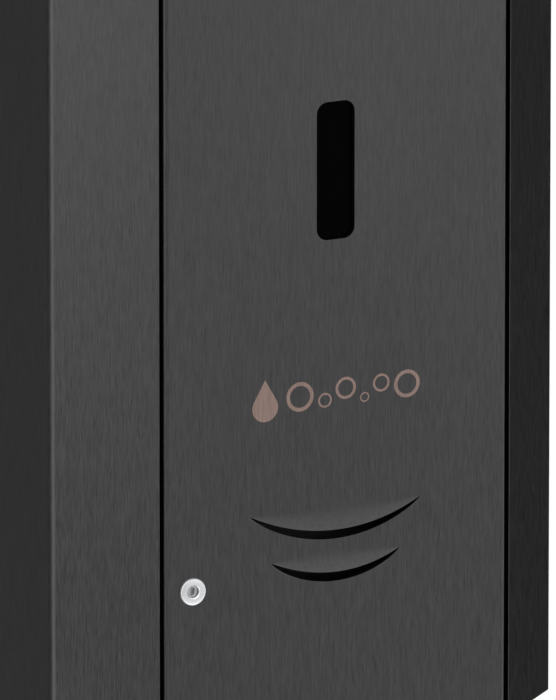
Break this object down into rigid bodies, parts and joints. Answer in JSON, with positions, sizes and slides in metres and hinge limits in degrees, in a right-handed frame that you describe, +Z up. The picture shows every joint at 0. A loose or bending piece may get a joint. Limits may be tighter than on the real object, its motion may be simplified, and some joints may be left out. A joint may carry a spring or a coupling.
{
  "type": "wall mounted soap dispenser",
  "caption": "Automatic soap dispenser with chamfered steel casing, hinged locking door, lift-out tank, gear pump, battery tray and sensor outlet underneath.",
  "frame": {"origin": "centre of the four wall screw holes, on the rear face of the wall plate", "axes": "+Y out of the rear face into the wall, +Z up, +X to the viewer's right; the door faces -Y"},
  "size_m": [0.133, 0.1159, 0.294],
  "materials": {
    "black_steel": "black brushed stainless steel, vertical grain",
    "bright_steel": "plain zinc plated or stainless steel",
    "plate_steel": "plain rolled stainless sheet",
    "lock_nickel": "satin nickel plate",
    "black_abs": "fine spark texture",
    "grey_abs": "fine spark texture",
    "smoked": "polished smoked acrylic",
    "infrared_window": "polished dark infrared filter",
    "natural_plastic": "blown natural polypropylene",
    "blue_plastic": "moulded polypropylene",
    "white_plastic": "acetal",
    "pump_alloy": "die cast",
    "pump_black": "glass filled nylon",
    "motor_steel": "drawn can",
    "silicone": "milky silicone",
    "black_rubber": "moulded rubber",
    "circuit_board": "solder mask",
    "components": "epoxy",
    "cells": "printed sleeve",
    "lead_sleeve": "flexible sleeve",
    "printed_ink": "screen printed bronze ink"
  },
  "bodies": {
    "housing": {"back_plate": "plate_steel", "casing": "black_steel", "case_rivets": "bright_steel", "door_stops": "black_steel", "stop_pads": "black_rubber", "hinge_pins": "bright_steel", "chassis": "black_abs", "chassis_screws": "bright_steel", "pump_body": "pump_alloy", "pump_cover": "pump_black", "pump_screws": "bright_steel", "shaft_seal": "black_rubber", "gear_motor": "motor_steel", "intake_seal": "black_rubber", "outlet_hose": "silicone", "nozzle": "black_rubber", "outlet_cowl": "black_abs", "sensor_lens": "infrared_window", "sensor_board": "circuit_board", "infrared_pair": "components", "battery_tray": "grey_abs", "battery_cells": "cells", "battery_contacts": "bright_steel", "control_panel": "grey_abs", "control_board": "circuit_board", "board_components": "components", "switch_body": "black_abs", "wiring": "lead_sleeve"},
    "door": {"door_panel": "black_steel", "sight_window": "smoked", "window_frame": "black_abs", "window_nuts": "bright_steel", "lock_body": "lock_nickel", "lock_nut": "bright_steel"},
    "lock": {"lock_barrel": "lock_nickel", "lock_cam": "bright_steel", "cam_screw": "bright_steel"},
    "tank": {"tank": "natural_plastic", "lid_pin": "bright_steel"},
    "lid": {"fill_lid": "blue_plastic", "lid_seal": "silicone"},
    "battery_cover": {"battery_cover": "black_abs"},
    "drive_gear": {"drive_gear": "white_plastic"},
    "idler_gear": {"idler_gear": "white_plastic"},
    "power_rocker": {"power_rocker": "grey_abs"},
    "dose_dial": {"dose_dial": "white_plastic"}
  },
  "joints": [
    {"name": "door_hinge", "type": "hinge", "parent": "housing", "child": "door", "pos_m": [0.04287, -0.1122, 0], "axis": [0, 0, 1], "range_deg": [0, 100]},
    {"name": "lock_turn", "type": "hinge", "parent": "door", "child": "lock", "pos_m": [-0.0378, -0.112, -0.0988], "axis": [0, 1, 0], "range_deg": [0, 90]},
    {"name": "tank_lift", "type": "slide", "parent": "housing", "child": "tank", "axis": [0, 0, 1], "range_m": [0, 0.01]},
    {"name": "lid_hinge", "type": "hinge", "parent": "tank", "child": "lid", "pos_m": [0, -0.0495, 0.0767], "axis": [-1, 0, 0], "range_deg": [0, 90]},
    {"name": "battery_cover_slide", "type": "slide", "parent": "housing", "child": "battery_cover", "axis": [0, 0, 1], "range_m": [0, 0.006]},
    {"name": "pump_spin", "type": "hinge", "parent": "housing", "child": "drive_gear", "pos_m": [0.019, -0.045, -0.065], "axis": [0, 0, 1], "continuous": true},
    {"name": "idler_spin", "type": "hinge", "parent": "housing", "child": "idler_gear", "pos_m": [0.031, -0.045, -0.065], "axis": [0, 0, 1], "continuous": true},
    {"name": "power_switch", "type": "hinge", "parent": "housing", "child": "power_rocker", "pos_m": [0.04, -0.0974, -0.07], "axis": [1, 0, 0], "range_deg": [0, 12]},
    {"name": "dose_setting", "type": "hinge", "parent": "housing", "child": "dose_dial", "pos_m": [0.04, -0.1, -0.1], "axis": [0, 1, 0], "range_deg": [-135, 135]}
  ],
  "couplings": [
    {"joint": "idler_spin", "follows": "pump_spin", "ratio": -1}
  ]
}
